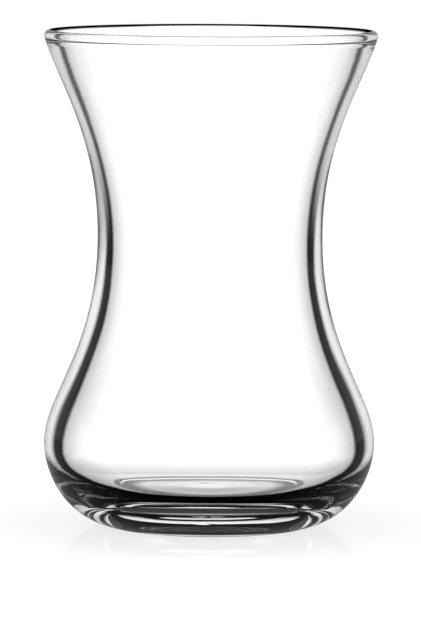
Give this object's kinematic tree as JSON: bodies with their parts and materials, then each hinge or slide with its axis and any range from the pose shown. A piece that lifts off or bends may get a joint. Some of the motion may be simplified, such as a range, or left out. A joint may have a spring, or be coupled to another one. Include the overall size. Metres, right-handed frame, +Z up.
{
  "type": "tea glass",
  "caption": "Clear tulip-shaped tea glass with a flared mouth, narrow waist, round bulb and thick base; holds a hot drink and stands on a flat surface.",
  "frame": {"origin": "middle of the ring that the glass stands on, at the level of the surface under it", "axes": "+Z up along the glass's own axis; the glass is round, so X and Y are any two level directions square to each other"},
  "size_m": [0.0558, 0.0558, 0.0832],
  "materials": {
    "clear_glass": "clear pressed soda-lime glass, fire-polished"
  },
  "bodies": {
    "root": {"tea_glass": "clear_glass"}
  },
  "joints": []
}
